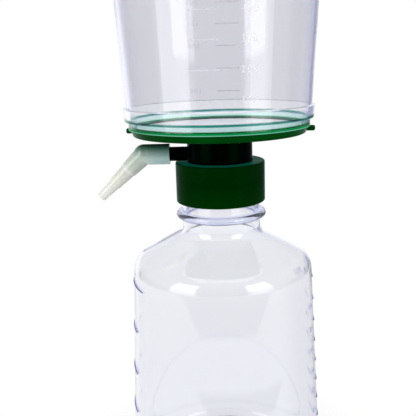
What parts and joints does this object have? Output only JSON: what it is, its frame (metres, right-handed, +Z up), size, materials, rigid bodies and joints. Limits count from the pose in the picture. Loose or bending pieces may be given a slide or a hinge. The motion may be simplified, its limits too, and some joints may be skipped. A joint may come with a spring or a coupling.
{
  "type": "vacuum filtration unit",
  "caption": "Bottle-top vacuum filter: clear graduated cup with lid, green filter base with side arm and angled hose adaptor, screw collar and clear receiver bottle.",
  "frame": {"origin": "centre of the bottle's foot, on the surface it stands on", "axes": "+Z up along the bottle's and the cup's common axis; the side arm and the hose adaptor point along -X; the front is -Y"},
  "size_m": [0.1276, 0.1186, 0.3487],
  "materials": {
    "clear_plastic": "clear moulded polystyrene, glossy",
    "green_plastic": "dark green moulded plastic, glossy",
    "white_plastic": "milky translucent moulded plastic, satin",
    "white_membrane": "white microporous film, matt",
    "soft_seal": "soft moulded silicone, matt",
    "cotton": "pressed cotton"
  },
  "bodies": {
    "bottle": {"bottle": "clear_plastic"},
    "filter_unit": {"filter_base": "green_plastic", "port_plug": "cotton", "membrane": "white_membrane", "funnel": "clear_plastic", "lid": "clear_plastic", "gasket": "soft_seal"},
    "collar": {"collar": "green_plastic"},
    "hose_adaptor": {"hose_adaptor": "white_plastic"}
  },
  "joints": [
    {"name": "unit_lift", "type": "slide", "parent": "bottle", "child": "filter_unit", "axis": [0, 0, 1], "range_m": [0, 0.012]},
    {"name": "collar_turn", "type": "hinge", "parent": "filter_unit", "child": "collar", "pos_m": [0, 0, 0.1903], "axis": [0, 0, 1], "range_deg": [0, 1080]},
    {"name": "adaptor_swivel", "type": "hinge", "parent": "filter_unit", "child": "hose_adaptor", "pos_m": [-0.0325, 0, 0.1955], "axis": [-1, 0, 0], "range_deg": [-138, 175]}
  ],
  "couplings": [
    {"joint": "collar_turn", "follows": "unit_lift", "rad_per_m": 1570.8}
  ]
}
